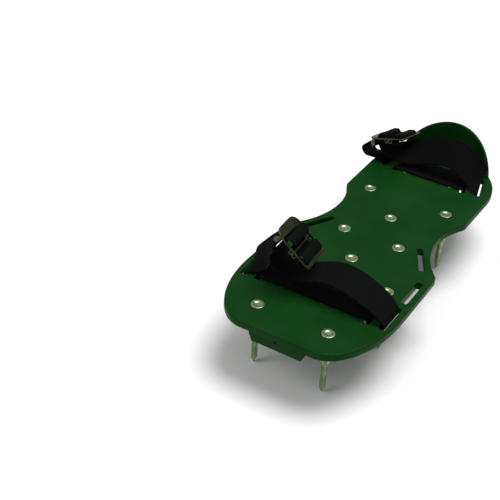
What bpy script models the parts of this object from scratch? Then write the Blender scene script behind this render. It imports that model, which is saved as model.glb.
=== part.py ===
"""One strap-on lawn aerator sandal, standing on its 13 spikes. Toe at +Y, wearer's right at +X.

Dimensions are in millimetres and scaled once by MM. Heights in the tables are above the
footbed (the plate's top face), which lies FOOTBED above the ground.
"""

import math

import bmesh
import bpy
from mathutils import Matrix, Vector

MM = 0.001
GAP = 0.3
PARTS = "lawn_aerator_sandal"
CUTTERS = "cutters"
SMOOTH_ANGLE = math.radians(40)

# Overall
LENGTH = 300.0
FOOTBED = 51.5
PLATE_T = 6.0
EDGE_R = 1.2

# Planform, one half
TOE_FLAT = 28.0
FORE_HALF = 61.8
FORE_ARC_Y = 85.0
FORE_CORNER = (61.5, 26.5)
WAIST = (42.6, -21.0)
HEEL_CORNER = (51.8, -51.6)
HEEL_R = 52.3
CORNER_TRIM = 3.0

# Heel cup and toe block, both moulded with the plate
CUP_H = 30.0
CUP_HALF_ANGLE = 52.0
CUP_WALL = 3.0
CUP_BASE_R = 51.0
BLOCK_TOP_HALF = 22.5
BLOCK_BOTTOM_HALF = 19.0
BLOCK_Y = (137.5, 147.4)
BLOCK_H = 9.0
POCKET_N = 3
POCKET_W = 10.6
POCKET_RIB = 1.9
POCKET_Y = (139.3, 145.6)
POCKET_DEPTH = 6.5

# Strap slots
SLOT_L = 28.5
SLOT_W = 4.6
SLOT_PITCH = 11.7
BAR_T = 3.0
FRONT_SLOT = (54.7, 88.8)
REAR_SLOT = (38.6, -111.0)
REAR_SLOT_ANGLE = 14.0
SPARE_SIDE_SLOT = (54.7, 53.3)
SPARE_WAIST_SLOT = (42.9, 12.1)
SPARE_WAIST_ANGLE = 27.7

# Spikes: (half spacing, y) of each pair, and y of each single one on the centre line
PAIRS = ((27.5, 127.0), (39.5, 62.0), (22.6, 7.7), (32.9, -56.9), (20.2, -100.9))
SINGLES = (90.7, 40.0, -26.2)
HEAD_R = 5.0
HEAD_T = 1.5
SHANK_R = 3.1
STEP_Z = -26.0
LOWER_R = 2.2
POINT_Z = -46.3
NUT_FLAT_R = 4.0
NUT_H = 5.3
WASHER_R = 5.8
WASHER_T = 1.1
SPIKE_SIDES = 12
NUT_SIDES = 12
WASHER_SIDES = 16
HOLE_SIDES = 16

# Webbing and buckles
WEB_W = 25.0
WEB_T = 1.5
WEB_Z = GAP + WEB_T / 2
UNDER_BAR_Z = -BAR_T - GAP - WEB_T / 2
FRAME_HALF = 14.4
WINDOW_HALF = 13.0
FRAME_REACH = 30.0
FRAME_NOSE = 4.5
NOSE_R = 7.5
FRAME_Z = 3.6
FRAME_T = 1.2
ANCHOR_R = 1.3
PIN_R = 0.75
PIN_X = -15.0
PIN_Z = 2.3
PIN_TRAVEL = 1.5
LOOP_R = ANCHOR_R + GAP + WEB_T / 2
FRONT_ANCHOR = (30.6, 90.1, 39.3)
FRONT_TURN = (3.0, -39.2, 3.0)
REAR_ANCHOR = (51.8, -112.6, 12.6)
REAR_TURN = (10.5, 17.0, -3.0)
TAIL_LOW = 0.25
HUMP_HIGH = 7.6
HUMP_LOW = 6.8
WINDOW_X = (-27.4, -2.8)


def clear_scene():
    for obj in list(bpy.data.objects):
        bpy.data.objects.remove(obj, do_unlink=True)


def add_collections():
    for name in (PARTS, CUTTERS):
        bpy.context.scene.collection.children.link(bpy.data.collections.new(name))


def material(name, colour, metallic, roughness):
    made = bpy.data.materials.new(name)
    made.use_nodes = True
    shader = made.node_tree.nodes["Principled BSDF"]
    shader.inputs["Base Color"].default_value = (*colour, 1.0)
    shader.inputs["Metallic"].default_value = metallic
    shader.inputs["Roughness"].default_value = roughness
    return made


def to_mesh(name, bm, mat):
    """Turns bm into a mesh whose round stretches are shaded smooth."""
    bmesh.ops.recalc_face_normals(bm, faces=bm.faces)
    mesh = bpy.data.meshes.new(name)
    bm.to_mesh(mesh)
    bm.free()
    mesh.shade_smooth()
    mesh.set_sharp_from_angle(angle=SMOOTH_ANGLE)
    if mat:
        mesh.materials.append(mat)
    return mesh


def to_object(name, bm, mat):
    obj = bpy.data.objects.new(name, to_mesh(name, bm, mat))
    bpy.data.collections[PARTS].objects.link(obj)
    return obj


def to_cutter(name, bm):
    """A helper that a Boolean joins to or cuts from a part, kept out of the render."""
    obj = bpy.data.objects.new(name, to_mesh(name, bm, None))
    bpy.data.collections[CUTTERS].objects.link(obj)
    obj.hide_render = True
    obj.display_type = "WIRE"
    return obj


def skin(bm, rings, closed_loop=False):
    """Joins rings of equal length into a tube; the ends are capped unless the tube closes on itself."""
    made = [[bm.verts.new(Vector(p) * MM) for p in ring] for ring in rings]
    count = len(made[0])
    last = len(made) if closed_loop else len(made) - 1
    for i in range(last):
        a = made[i]
        b = made[(i + 1) % len(made)]
        for j in range(count):
            k = (j + 1) % count
            bm.faces.new((a[j], a[k], b[k], b[j]))
    if not closed_loop:
        bm.faces.new(list(reversed(made[0])))
        bm.faces.new(made[-1])


def bezier_corner(a, b, c, trim, steps):
    """Points of a rounded corner at b, starting trim along the way to a and ending trim toward c."""
    a, b, c = Vector(a), Vector(b), Vector(c)
    start = b + (a - b).normalized() * min(trim, 0.48 * (a - b).length)
    end = b + (c - b).normalized() * min(trim, 0.48 * (c - b).length)
    points = []
    for i in range(steps + 1):
        t = i / steps
        points.append(start * (1 - t) ** 2 + b * (2 * t * (1 - t)) + end * t * t)
    return points


def half_outline():
    """The plate's edge at +X, from the toe's centre round to the heel's centre."""
    half = LENGTH / 2
    points = [Vector((0.0, half))]
    a = FORE_HALF - TOE_FLAT
    b = half - FORE_ARC_Y
    for i in range(16):
        t = math.radians(90 - 6 * i)
        points.append(Vector((TOE_FLAT + a * math.cos(t), FORE_ARC_Y + b * math.sin(t))))
    points.append(Vector((FORE_HALF - 0.1, 55.0)))
    points.append(Vector((FORE_CORNER[0], FORE_CORNER[1] + CORNER_TRIM)))
    upper = waist_arc(FORE_CORNER, 9)
    lower = waist_arc(HEEL_CORNER, 8)
    points += bezier_corner(points[-1], FORE_CORNER, upper[1], CORNER_TRIM, 4)[1:]
    points += upper[2:] + list(reversed(lower))[1:-2]
    heel_top = (HEEL_CORNER[0], HEEL_CORNER[1] - CORNER_TRIM)
    points += bezier_corner(points[-1], HEEL_CORNER, heel_top, CORNER_TRIM, 4)
    centre_y = HEEL_R - half
    for i in range(16):
        t = math.radians(6 * i)
        points.append(Vector((HEEL_R * math.cos(t), centre_y - HEEL_R * math.sin(t))))
    return points


def waist_arc(corner, steps):
    """Arc from a corner to the narrowest point of the waist, where it runs parallel to Y."""
    dx = corner[0] - WAIST[0]
    dy = corner[1] - WAIST[1]
    radius = (dx * dx + dy * dy) / (2 * dx)
    full = math.asin(dy / radius)
    points = []
    for i in range(steps + 1):
        t = full * (1 - i / steps)
        x = WAIST[0] + radius * (1 - math.cos(t))
        points.append(Vector((x, WAIST[1] + radius * math.sin(t))))
    return points


def offset(points, distance):
    """Moves a closed outline inward by a distance."""
    out = []
    for i, point in enumerate(points):
        along = (points[(i + 1) % len(points)] - points[i - 1]).normalized()
        out.append(point + Vector((along.y, -along.x)) * distance)
    return out


def ring_at(points, z):
    return [(p.x, p.y, FOOTBED + z) for p in points]


def make_plate_body(mat):
    right = half_outline()
    left = [Vector((-p.x, p.y)) for p in reversed(right[1:-1])]
    outline = right + left
    rings = []
    for inset, z in ((EDGE_R, 0.0), (0.35, -0.35), (0.0, -EDGE_R)):
        rings.append(ring_at(offset(outline, inset), z))
    for inset, z in ((0.0, EDGE_R), (0.35, 0.35), (EDGE_R, 0.0)):
        rings.append(ring_at(offset(outline, inset), z - PLATE_T))
    bm = bmesh.new()
    skin(bm, rings)
    return to_object("sole_plate", bm, mat)


def cup_height(angle):
    share = max(0.0, math.cos(math.radians(90 * angle / CUP_HALF_ANGLE)))
    return CUP_H * share**0.66 - 0.4


def make_cup():
    """The heel cup: a wall along the heel's edge, tallest at the back, leaning out a little."""
    centre_y = HEEL_R - LENGTH / 2
    steps = 24
    rings = []
    for i in range(steps + 1):
        angle = -CUP_HALF_ANGLE + 2 * CUP_HALF_ANGLE * i / steps
        top = cup_height(angle)
        lean = (HEEL_R - 0.02 - CUP_BASE_R) * max(top, 0.0) / CUP_H
        outer = CUP_BASE_R + lean
        inner = outer - CUP_WALL + 0.6
        section = (
            (CUP_BASE_R, -3.0),
            (outer, top - 1.0),
            (outer - 0.35, top - 0.25),
            (outer - 1.2, top),
            (inner + 0.35, top - 0.25),
            (inner, top - 1.0),
            (CUP_BASE_R - CUP_WALL, -3.0),
        )
        t = math.radians(angle)
        ring = []
        for radius, z in section:
            place = (radius * math.sin(t), centre_y - radius * math.cos(t), FOOTBED + z)
            ring.append(place)
        rings.append(ring)
    bm = bmesh.new()
    skin(bm, rings)
    return to_cutter("join_cup", bm)


def make_block():
    """The block under the toe edge, with sloping ends and a small moulding nub on its front."""
    bm = bmesh.new()
    top = FOOTBED - PLATE_T + 1.0
    bottom = FOOTBED - PLATE_T - BLOCK_H
    rings = []
    for half, z in ((BLOCK_TOP_HALF + 0.4, top), (BLOCK_BOTTOM_HALF, bottom)):
        rings.append(
            [
                (-half, BLOCK_Y[0], z),
                (half, BLOCK_Y[0], z),
                (half, BLOCK_Y[1], z),
                (-half, BLOCK_Y[1], z),
            ]
        )
    skin(bm, rings)
    return to_cutter("join_block", bm)


def make_nub():
    bm = bmesh.new()
    spot = Matrix.Translation(Vector((1.5, BLOCK_Y[1], FOOTBED - 8.6)) * MM)
    turn = Matrix.Rotation(math.radians(90), 4, "X")
    bmesh.ops.create_cone(
        bm,
        cap_ends=True,
        segments=12,
        radius1=1.0 * MM,
        radius2=1.0 * MM,
        depth=1.6 * MM,
        matrix=spot @ turn,
    )
    return to_cutter("join_nub", bm)


def slot_centres():
    """(x, y, angle) of every slot cut through the plate; the angle turns it from the Y direction."""
    sin_a = math.sin(math.radians(REAR_SLOT_ANGLE))
    cos_a = math.cos(math.radians(REAR_SLOT_ANGLE))
    inner_rear = (REAR_SLOT[0] - SLOT_PITCH * cos_a, REAR_SLOT[1] + SLOT_PITCH * sin_a)
    right = [
        (FRONT_SLOT[0], FRONT_SLOT[1], 0.0),
        (FRONT_SLOT[0] - SLOT_PITCH, FRONT_SLOT[1], 0.0),
        (SPARE_SIDE_SLOT[0], SPARE_SIDE_SLOT[1], 0.0),
        (SPARE_WAIST_SLOT[0], SPARE_WAIST_SLOT[1], SPARE_WAIST_ANGLE),
        (REAR_SLOT[0], REAR_SLOT[1], REAR_SLOT_ANGLE),
        (inner_rear[0], inner_rear[1], REAR_SLOT_ANGLE),
    ]
    return right + [(-x, y, -angle) for x, y, angle in right]


def rounded_box(bm, centre, angle, sizes, z_range, radius):
    """A prism with rounded corners; sizes gives (across, along) at its bottom and at its top."""
    turn = Matrix.Rotation(math.radians(-angle), 2)
    rings = []
    for (across, along), z in zip(sizes, z_range):
        ring = []
        for corner in range(4):
            sx = (1, -1, -1, 1)[corner]
            sy = (1, 1, -1, -1)[corner]
            for i in range(3):
                t = math.radians(90 * corner + 45 * i)
                x = sx * (across / 2 - radius) + radius * math.cos(t)
                y = sy * (along / 2 - radius) + radius * math.sin(t)
                spot = turn @ Vector((x, y))
                ring.append((centre[0] + spot.x, centre[1] + spot.y, FOOTBED + z))
        rings.append(ring)
    skin(bm, rings)


def make_through_cutter():
    """The strap slots and the spikes' holes."""
    bm = bmesh.new()
    for x, y, angle in slot_centres():
        size = (SLOT_W, SLOT_L)
        rounded_box(bm, (x, y), angle, (size, size), (-PLATE_T - 2, 2.0), 1.0)
    for _, x, y in spike_places():
        spot = Matrix.Translation(Vector((x, y, FOOTBED - PLATE_T / 2)) * MM)
        radius = (SHANK_R + GAP) * MM
        bmesh.ops.create_cone(
            bm,
            cap_ends=True,
            segments=HOLE_SIDES,
            radius1=radius,
            radius2=radius,
            depth=(PLATE_T + 6) * MM,
            matrix=spot,
        )
    return to_cutter("cut_through", bm)


def make_recess_cutter():
    """Head recesses in the footbed, strap windows in the sole and the pockets of the toe block."""
    bm = bmesh.new()
    for _, x, y in spike_places():
        depth = HEAD_T + GAP + 2.0
        spot = Matrix.Translation(Vector((x, y, FOOTBED + 2.0 - depth / 2)) * MM)
        radius = (HEAD_R + GAP) * MM
        bmesh.ops.create_cone(
            bm,
            cap_ends=True,
            segments=HOLE_SIDES,
            radius1=radius,
            radius2=radius,
            depth=depth * MM,
            matrix=spot,
        )
    across = SLOT_PITCH + SLOT_W - 0.4
    along = SLOT_L - 0.4
    wide = ((across + 3.6, along + 3.6), (across, along))
    for x, y, angle in (FRONT_SLOT + (0.0,), REAR_SLOT + (REAR_SLOT_ANGLE,)):
        turn = math.radians(angle)
        mid = (x - SLOT_PITCH / 2 * math.cos(turn), y + SLOT_PITCH / 2 * math.sin(turn))
        for side in (1, -1):
            spot = (side * mid[0], mid[1])
            rounded_box(bm, spot, side * angle, wide, (-PLATE_T - 0.8, -BAR_T), 1.2)
    pitch = POCKET_W + POCKET_RIB
    for i in range(POCKET_N):
        x = (i - (POCKET_N - 1) / 2) * pitch
        y = sum(POCKET_Y) / 2
        size = (POCKET_W, POCKET_Y[1] - POCKET_Y[0])
        floor = -PLATE_T - BLOCK_H
        rounded_box(bm, (x, y), 0.0, (size, size), (floor - 2, floor + POCKET_DEPTH), 0.8)
    return to_cutter("cut_recess", bm)


def add_boolean(obj, other, operation):
    modifier = obj.modifiers.new(other.name, "BOOLEAN")
    modifier.operation = operation
    modifier.solver = "EXACT"
    modifier.object = other


def make_plate(mat):
    plate = make_plate_body(mat)
    for joined in (make_cup(), make_block(), make_nub()):
        add_boolean(plate, joined, "UNION")
    for cutter in (make_through_cutter(), make_recess_cutter()):
        add_boolean(plate, cutter, "DIFFERENCE")


def spike_places():
    """(label, x, y) of the 13 spikes, numbered from the toe to the heel."""
    spots = [(side * x, y) for x, y in PAIRS for side in (1, -1)]
    spots += [(0.0, y) for y in SINGLES]
    spots.sort(key=lambda spot: (-spot[1], -spot[0]))
    return [(f"{i + 1:02d}", x, y) for i, (x, y) in enumerate(spots)]


def shaped(radius, index, sides, shape):
    """Radius of a round, hexagonal, square or toothed ring at one of its corners."""
    angle = 360 * index / sides
    if shape == "hex":
        return radius / math.cos(math.radians((angle + 30) % 60 - 30))
    if shape == "square":
        return radius / math.cos(math.radians((angle + 45) % 90 - 45))
    if shape == "teeth":
        return radius - 0.9 * (index % 2)
    return radius


def turned_ring(radius, z, sides, shape="round"):
    ring = []
    for i in range(sides):
        r = shaped(radius, i, sides, shape)
        t = 2 * math.pi * i / sides
        ring.append((r * math.cos(t), r * math.sin(t), z))
    return ring


def make_spike_mesh(mat):
    """Flat dished head, thick upper shank, thin lower shank and a four-sided nail point."""
    sides = SPIKE_SIDES
    rings = [
        turned_ring(1.8, -0.5, sides),
        turned_ring(2.6, 0.0, sides),
        turned_ring(HEAD_R - 0.4, 0.0, sides),
        turned_ring(HEAD_R, -0.4, sides),
        turned_ring(HEAD_R, -HEAD_T, sides),
        turned_ring(SHANK_R, -HEAD_T - 0.1, sides),
        turned_ring(SHANK_R, STEP_Z, sides),
        turned_ring(LOWER_R, STEP_Z - 1.2, sides),
        turned_ring(LOWER_R, POINT_Z, sides),
        turned_ring(LOWER_R * 0.5, (POINT_Z * 2 - FOOTBED) / 3 - 1.4, sides, "square"),
        turned_ring(0.25, -FOOTBED, sides, "square"),
    ]
    return turned_mesh("spike_mesh", rings, mat)


def make_nut_mesh(mat):
    """Plain hexagon nut with chamfered ends."""
    bore = SHANK_R + GAP + 0.15
    sides = NUT_SIDES
    rings = [
        turned_ring(bore, 0.0, sides),
        turned_ring(NUT_FLAT_R - 0.1, 0.0, sides),
        turned_ring(NUT_FLAT_R, -0.6, sides, "hex"),
        turned_ring(NUT_FLAT_R, -NUT_H + 0.6, sides, "hex"),
        turned_ring(NUT_FLAT_R - 0.1, -NUT_H, sides),
        turned_ring(bore, -NUT_H, sides),
    ]
    return turned_mesh("nut_mesh", rings, mat, closed_loop=True)


def make_washer_mesh(mat):
    """Toothed lock washer under each nut."""
    bore = SHANK_R + GAP + 0.05
    sides = WASHER_SIDES
    rings = [
        turned_ring(bore, 0.0, sides),
        turned_ring(WASHER_R, -0.15, sides, "teeth"),
        turned_ring(WASHER_R, -WASHER_T, sides, "teeth"),
        turned_ring(bore, -WASHER_T + 0.15, sides),
    ]
    return turned_mesh("washer_mesh", rings, mat, closed_loop=True)


def turned_mesh(name, rings, mat, closed_loop=False):
    bm = bmesh.new()
    skin(bm, rings, closed_loop)
    return to_mesh(name, bm, mat)


def place_copy(name, mesh, x, y, z):
    obj = bpy.data.objects.new(name, mesh)
    obj.location = Vector((x, y, z)) * MM
    bpy.data.collections[PARTS].objects.link(obj)


def make_fasteners(mat):
    spike = make_spike_mesh(mat)
    nut = make_nut_mesh(mat)
    washer = make_washer_mesh(mat)
    nut_z = FOOTBED - PLATE_T - GAP
    washer_z = nut_z - NUT_H - GAP
    for label, x, y in spike_places():
        place_copy(f"spike_{label}", spike, x, y, FOOTBED)
        place_copy(f"nut_{label}", nut, x, y, nut_z)
        place_copy(f"washer_{label}", washer, x, y, washer_z)


def route(stops):
    """Rounds the corners of a webbing route. A stop is (x, z, trim, y, skew, tilt)."""
    points = [list(stops[0][:2]) + list(stops[0][3:])]
    for i in range(1, len(stops) - 1):
        rows = [Vector(stop[:2] + stop[3:]) for stop in stops[i - 1 : i + 2]]
        trim = stops[i][2]
        bend = bend_angle(stops[i - 1], stops[i], stops[i + 1])
        steps = max(1, min(5, round(bend / 20)))
        before = (rows[0].xy - rows[1].xy).length
        after = (rows[2].xy - rows[1].xy).length
        start = rows[1].lerp(rows[0], min(trim / before, 0.48))
        end = rows[1].lerp(rows[2], min(trim / after, 0.48))
        for j in range(steps + 1):
            t = j / steps
            mixed = start * (1 - t) ** 2 + rows[1] * (2 * t * (1 - t)) + end * t * t
            points.append(list(mixed))
    points.append(list(stops[-1][:2]) + list(stops[-1][3:]))
    return points


def bend_angle(a, b, c):
    one = Vector((b[0] - a[0], b[1] - a[1]))
    two = Vector((c[0] - b[0], c[1] - b[1]))
    return math.degrees(one.angle(two))


def webbing(name, points, mat):
    """A flat strap through (x, z, y, skew, tilt) points: skew turns it in plan, tilt lifts its heel edge."""
    half = WEB_W / 2
    edges = []
    for x, z, y, skew, tilt in points:
        middle = Vector((x, y, z))
        across = Vector((skew, 1.0, -tilt / half)).normalized() * half
        edges.append((middle + across, middle - across))
    rings = []
    for i, (toe, heel) in enumerate(edges):
        before = edges[max(i - 1, 0)]
        after = edges[min(i + 1, len(edges) - 1)]
        along = (after[0] + after[1] - before[0] - before[1]).normalized()
        normal = along.cross((toe - heel).normalized()).normalized()
        lift = normal * WEB_T / 2
        thin = normal * (WEB_T / 2 - 0.35)
        inward = (heel - toe).normalized() * 0.35
        rings.append(
            [
                toe + inward + lift,
                heel - inward + lift,
                heel + thin,
                heel - thin,
                heel - inward - lift,
                toe + inward - lift,
                toe - thin,
                toe + thin,
            ]
        )
    bm = bmesh.new()
    skin(bm, rings)
    obj = to_object(name, bm, mat)
    obj.location.z = FOOTBED * MM
    return obj


def loop_stops(anchor, leg, length, skew, tilt):
    """Sewn eye round a buckle's bar: up the inner leg, round the bar and onto the outer leg.

    leg is the direction in which the doubled strap leaves the bar.
    """
    away = Vector(leg).normalized()
    side = Vector((-away.y, away.x))
    centre = Vector((anchor[0], anchor[2]))
    y = anchor[1]
    spots = [centre + away * length - side * (LOOP_R - 2.9)]
    spots.append(centre + away * 5.5 - side * (LOOP_R - 2.6))
    spots.append(centre + away * 1.4 - side * LOOP_R)
    for degrees in (18, 54, 90, 126, 162):
        t = math.radians(degrees)
        spots.append(centre - side * LOOP_R * math.cos(t) - away * LOOP_R * math.sin(t))
    spots.append(centre + away * 1.4 + side * LOOP_R)
    return [(spot.x, spot.y, 0.8, y, skew, tilt) for spot in spots]


def slot_stops(side, outer, inner, y_out, y_in, skew):
    """Stops that take a strap down its outer slot, under the bar and up its inner slot."""
    skew = side * skew
    return [
        (side * outer, -1.4, 1.2, y_out, skew, 0.0),
        (side * outer, UNDER_BAR_Z, 1.6, y_out, skew, 0.0),
        (side * inner, UNDER_BAR_Z, 1.6, y_in, skew, 0.0),
        (side * inner, WEB_Z, 1.6, y_in, skew, 0.0),
    ]


def make_front_strap(mat):
    y = FRONT_SLOT[1]
    outer, inner = FRONT_SLOT[0], FRONT_SLOT[0] - SLOT_PITCH
    stops = loop_stops(FRONT_ANCHOR, (0.33, -0.944), 10.0, -0.086, -0.5)
    stops += [
        (37.0, 25.2, 3.5, y, -0.3, 3.4),
        (40.6, 17.8, 4.0, y, -0.55, 6.6),
        (44.6, 11.4, 4.0, y, -0.7, 7.6),
        (49.6, 6.9, 4.0, y, -0.6, 5.0),
        (53.6, 3.6, 2.5, y, -0.45, 2.4),
        (54.6, 1.6, 0.8, y, -0.2, 0.4),
    ]
    stops += slot_stops(1, outer, inner, y, y, 0.0)
    stops += [(20.0, WEB_Z, 5.0, y, 0.0, 0.0), (-20.0, WEB_Z, 5.0, y, 0.0, 0.0)]
    stops += list(reversed(slot_stops(-1, outer, inner, y, y, 0.0)))
    stops += [
        (-54.6, 2.0, 2.0, y, 0.0, 0.0),
        (-49.0, 7.9, 4.0, y, 0.0, 1.2),
        (-40.0, 12.4, 5.0, y, 0.0, 2.0),
        (-28.0, 17.3, 6.0, y, 0.0, 2.2),
        (-13.0, 19.7, 7.0, y, 0.0, 2.0),
        (-2.0, 17.2, 5.0, y, 0.0, 1.5),
        (9.0, 11.6, 5.0, y, 0.0, 1.5),
        (22.0, 10.2, 6.0, y, 0.0, 0.5),
        (31.0, 20.0, 6.0, y, 0.0, 0.0),
        (29.7, 33.4, 2.0, y + 1.3, -0.086, -0.5),
        (28.75, 34.6, 1.0, y + 1.3, -0.086, -0.5),
    ]
    webbing("front_strap", route(stops), mat)


def make_rear_strap(mat):
    y_out = REAR_SLOT[1]
    turn = math.radians(REAR_SLOT_ANGLE)
    outer = REAR_SLOT[0]
    inner = outer - SLOT_PITCH * math.cos(turn)
    y_in = y_out + SLOT_PITCH * math.sin(turn)
    skew = math.tan(turn)
    stops = loop_stops(REAR_ANCHOR, (0.84, -0.54), 6.5, 0.1, -2.3)
    stops += [
        (60.2, 4.2, 3.0, y_out - 1.0, 0.0, -3.6),
        (57.2, -0.6, 3.0, y_out - 0.5, 0.05, -3.8),
        (50.0, 1.9, 3.0, y_out, 0.15, -1.0),
        (41.5, 3.0, 3.0, y_out, 0.2, 0.0),
    ]
    stops += slot_stops(1, outer, inner, y_out, y_in, skew)
    stops += [(14.0, WEB_Z, 5.0, y_in, 0.0, 0.0), (-14.0, WEB_Z, 5.0, y_in, 0.0, 0.0)]
    stops += list(reversed(slot_stops(-1, outer, inner, y_out, y_in, skew)))
    stops += [
        (-38.6, 0.8, 0.8, y_out, -skew, 0.0),
        (-39.0, 3.9, 2.0, y_out, 0.1, 2.0),
        (-36.8, 7.8, 3.5, y_out, 0.4, 5.4),
        (-31.6, 13.6, 5.0, y_out, 0.4, 9.0),
        (-22.5, 19.6, 6.0, y_out, 0.3, 12.5),
        (-11.5, 23.4, 7.0, y_out, 0.1, 15.0),
        (1.0, 20.2, 7.0, y_out, 0.0, 14.0),
        (14.0, 15.2, 7.0, y_out, 0.0, 11.0),
        (25.0, 11.8, 5.0, y_out, 0.0, 7.4),
        (33.5, 9.7, 3.5, y_out, 0.0, 3.0),
        (40.0, 8.6, 3.0, y_out - 0.5, 0.0, 0.8),
        (44.2, 9.2, 1.8, y_out - 0.9, 0.1, -1.5),
        (45.9, 12.3, 1.0, y_out - 0.9, 0.1, -2.3),
    ]
    webbing("rear_strap", route(stops), mat)


def place_buckle(obj, anchor, turn):
    obj.location = Vector((anchor[0], anchor[1], FOOTBED + anchor[2])) * MM
    obj.rotation_euler = [math.radians(angle) for angle in turn]


def frame_plate(name, mat):
    """The frame's flat ring in its own axes: the hinge bar is the origin, the end bar lies at -X."""
    outer = plan_ring(-FRAME_REACH, FRAME_NOSE, FRAME_HALF, 1.5, NOSE_R)
    rings = []
    for z in (FRAME_Z, FRAME_Z + FRAME_T):
        rings.append([(x, y, z) for x, y in outer])
    bm = bmesh.new()
    skin(bm, rings)
    return to_object(name, bm, mat)


def plan_ring(x0, x1, half, r0, r1):
    """Rounded rectangle from x0 (corners r0) to x1 (corners r1)."""
    ring = []
    corners = ((x1, 1, r1, 0), (x0, 1, r0, 90), (x0, -1, r0, 180), (x1, -1, r1, 270))
    for sx, sy, radius, first in corners:
        for i in range(6):
            t = math.radians(first + 18 * i)
            cx = sx - radius if sx == x1 else sx + radius
            ring.append((cx + radius * math.cos(t), sy * (half - radius) + radius * math.sin(t)))
    return ring


def box_between(bm, low, high):
    spot = (Vector(low) + Vector(high)) / 2 * MM
    size = (Vector(high) - Vector(low)) * MM
    matrix = Matrix.Translation(spot) @ Matrix.Diagonal((*size, 1.0))
    bmesh.ops.create_cube(bm, size=1.0, matrix=matrix)


def rod(bm, x, z, radius, y0, y1, segments=16):
    spot = Matrix.Translation(Vector((x, (y0 + y1) / 2, z)) * MM)
    turn = Matrix.Rotation(math.radians(90), 4, "X")
    bmesh.ops.create_cone(
        bm,
        cap_ends=True,
        segments=segments,
        radius1=radius * MM,
        radius2=radius * MM,
        depth=(y1 - y0) * MM,
        matrix=spot @ turn,
    )


def ears(bm, y0, y1):
    """One side's two ears under the ring: a round one that holds the hinge bar, and one for the pin's slot."""
    top = FRAME_Z + 0.6
    wall = ANCHOR_R + 0.5
    bar = [(-wall, top)]
    for degrees in (180, 216, 252, 288, 324, 360):
        t = math.radians(degrees)
        bar.append((wall * math.cos(t), wall * math.sin(t)))
    bar += [(wall, 1.6), (0.0, top)]
    half = PIN_TRAVEL + PIN_R + GAP + 0.9
    low = PIN_Z - PIN_R - GAP - 0.5
    pin = [(PIN_X - half, top), (PIN_X - half + 0.6, low)]
    pin += [(PIN_X + half - 0.6, low), (PIN_X + half, top)]
    for outline in (bar, pin):
        skin(bm, [[(x, y, z) for x, z in outline] for y in (y0, y1)])


def make_frame(label, anchor, turn, mat):
    """Stamped buckle frame: a flat ring, two side flanges slotted for the pin, and the hinge bar."""
    frame = frame_plate(f"{label}_buckle_frame", mat)
    window = bmesh.new()
    rings = []
    for z in (FRAME_Z - 2, FRAME_Z + FRAME_T + 2):
        shape = plan_ring(WINDOW_X[0], WINDOW_X[1], WINDOW_HALF, 1.0, 1.0)
        rings.append([(x, y0, z) for x, y0 in shape])
    skin(window, rings)
    flanges = bmesh.new()
    slots = bmesh.new()
    bar = bmesh.new()
    for side in (-1, 1):
        near = min(side * 13.15, side * 14.25)
        far = max(side * 13.15, side * 14.25)
        ears(flanges, near, far)
        reach = PIN_TRAVEL + PIN_R + GAP
        low = (PIN_X - reach, near - 1, PIN_Z - PIN_R - GAP)
        high = (PIN_X + reach, far + 1, PIN_Z + PIN_R + GAP)
        box_between(slots, low, high)
    rod(bar, 0.0, 0.0, ANCHOR_R, -14.2, 14.2)
    cut_window = to_cutter(f"{label}_cut_window", window)
    join_flanges = to_cutter(f"{label}_join_flanges", flanges)
    cut_slots = to_cutter(f"{label}_cut_slots", slots)
    join_bar = to_cutter(f"{label}_join_bar", bar)
    add_boolean(frame, cut_window, "DIFFERENCE")
    add_boolean(frame, join_flanges, "UNION")
    add_boolean(frame, cut_slots, "DIFFERENCE")
    add_boolean(frame, join_bar, "UNION")
    for obj in (frame, cut_window, join_flanges, cut_slots, join_bar):
        place_buckle(obj, anchor, turn)
    return frame


def make_pin(label, frame, mat):
    """Locking pin: a round bar riveted over outside each flange, which slides in their slots."""
    reach = FRAME_HALF + 0.8
    shoulder = FRAME_HALF + 0.2
    spots = [(0.8, -reach), (1.15, -reach + 0.25), (1.15, -shoulder), (PIN_R, -shoulder)]
    spots += [(radius, -y) for radius, y in reversed(spots)]
    rings = []
    for radius, y in spots:
        ring = []
        for i in range(12):
            t = 2 * math.pi * i / 12
            ring.append((radius * math.cos(t), y, radius * math.sin(t)))
        rings.append(ring)
    bm = bmesh.new()
    skin(bm, rings)
    pin = to_object(f"{label}_locking_pin", bm, mat)
    pin.parent = frame
    pin.location = Vector((PIN_X, 0, PIN_Z)) * MM


def make_tail(label, frame, mat):
    """The strap's far end in its buckle: up through the window, under the pin and folded by the end bar."""
    wall = PIN_TRAVEL + PIN_R + GAP + WEB_T / 2 + 0.05
    first = -(ANCHOR_R + WEB_T + 2 * GAP + WEB_T / 2) - 0.2
    last = WINDOW_X[0] + GAP + WEB_T / 2 + 0.2
    spots = [
        (first, -1.6, 1.0),
        (first, HUMP_HIGH, 3.3),
        (PIN_X + wall, HUMP_HIGH, 3.3),
        (PIN_X + wall, TAIL_LOW, 1.2),
        (PIN_X - wall, TAIL_LOW, 1.2),
        (PIN_X - wall, HUMP_LOW, 3.2),
        (last, HUMP_LOW, 3.2),
        (last, 2.4, 1.0),
    ]
    stops = [(x, z, trim, 0.0, 0.0, 0.0) for x, z, trim in spots]
    tail = webbing(f"{label}_strap_tail", route(stops), mat)
    tail.location = (0, 0, 0)
    tail.parent = frame


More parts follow.
